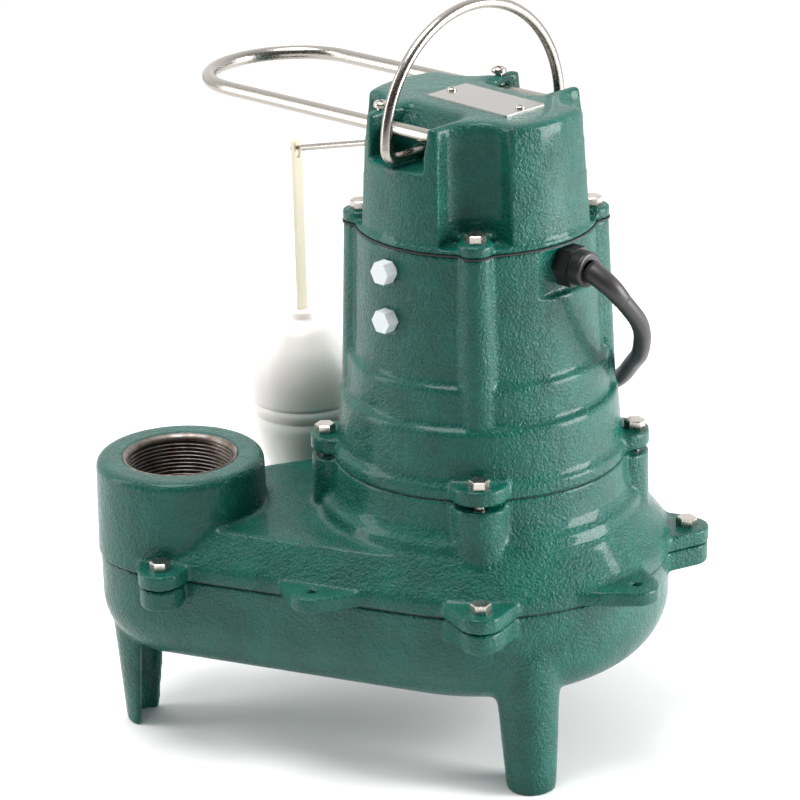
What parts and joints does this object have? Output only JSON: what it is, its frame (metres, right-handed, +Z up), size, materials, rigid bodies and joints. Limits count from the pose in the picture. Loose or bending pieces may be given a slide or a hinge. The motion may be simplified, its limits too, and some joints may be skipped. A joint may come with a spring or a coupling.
{
  "type": "submersible sump pump",
  "caption": "Cast submersible sump pump with side discharge, wire handle, tethered-rod float switch on a guard loop, and power cord with plug.",
  "frame": {"origin": "centre of the pump's footprint box on the floor, without the power cord", "axes": "+Z up along the motor shaft; -X towards the discharge; -Y is the front, the side with the single front leg; the float hangs at the rear left"},
  "size_m": [0.3379, 0.4102, 0.4135],
  "materials": {
    "enamel": "semi-gloss baked enamel over sand-cast iron, fine orange peel",
    "gasket": "matt black",
    "stainless": "plain stainless",
    "plate": "brushed, blank",
    "wire": "drawn stainless wire, satin",
    "nylon": "natural white nylon",
    "rod_plastic": "cream moulding",
    "float_plastic": "frosted, slightly see-through",
    "gland": "satin black",
    "cord_jacket": "satin dark grey",
    "tie": "matt black",
    "brass": "bright",
    "switch": "black phenolic",
    "bracket": "plated",
    "machined_iron": "machined",
    "shaft_steel": "ground steel",
    "lamination": "stacked electrical steel",
    "copper": "enamelled copper wire, varnished",
    "ceramic": "ceramic",
    "seal": "rubber bellows over a carbon face"
  },
  "bodies": {
    "pump": {"volute_base": "enamel", "volute_gasket": "gasket", "volute_cover": "enamel", "cover_bolts": "stainless", "motor_housing": "enamel", "housing_seal": "gasket", "housing_bolts": "stainless", "oil_plugs": "nylon", "cap_gasket": "gasket", "switch_cap": "enamel", "cap_bolts": "stainless", "nameplate": "plate", "nameplate_screws": "stainless", "guard_screws": "stainless", "float_guard": "wire", "arm_seal": "gasket", "float_switch": "switch", "switch_bracket": "bracket", "bearing_plate": "machined_iron", "preload_washer": "shaft_steel", "upper_bearing": "shaft_steel", "lower_bearing": "shaft_steel", "stator_core": "lamination", "stator_winding": "copper", "thermal_switch": "switch", "seal_seat": "ceramic", "cord_gland": "gland", "strain_relief": "cord_jacket", "power_cord": "cord_jacket", "cord_coil": "cord_jacket", "cord_tie": "tie", "cord_tail": "cord_jacket", "cord_plug": "cord_jacket", "plug_blades": "brass"},
    "rotor": {"shaft": "shaft_steel", "rotor_core": "lamination", "impeller": "machined_iron", "impeller_nut": "stainless", "seal_head": "seal"},
    "arm": {"float_arm": "wire"},
    "float": {"float_rod": "rod_plastic", "float_upper": "float_plastic", "float_lower": "float_plastic"},
    "handle": {"handle": "wire"}
  },
  "joints": [
    {"name": "shaft_spin", "type": "hinge", "parent": "pump", "child": "rotor", "pos_m": [0.04345, -0.01338, 0.2], "axis": [0, 0, 1], "continuous": true},
    {"name": "arm_swing", "type": "hinge", "parent": "pump", "child": "arm", "pos_m": [0.00314, 0.02693, 0.325], "axis": [0.7071, 0.7071, 0], "range_deg": [0, 27]},
    {"name": "rod_swing", "type": "hinge", "parent": "arm", "child": "float", "pos_m": [-0.05731, 0.08738, 0.30289], "axis": [0.7071, 0.7071, 0], "range_deg": [-27, 0]},
    {"name": "handle_swing", "type": "hinge", "parent": "pump", "child": "handle", "pos_m": [0.04345, -0.01338, 0.3395], "axis": [0.7071, 0.7071, 0], "range_deg": [-60, 60]}
  ],
  "couplings": [
    {"joint": "rod_swing", "follows": "arm_swing", "ratio": -1}
  ]
}
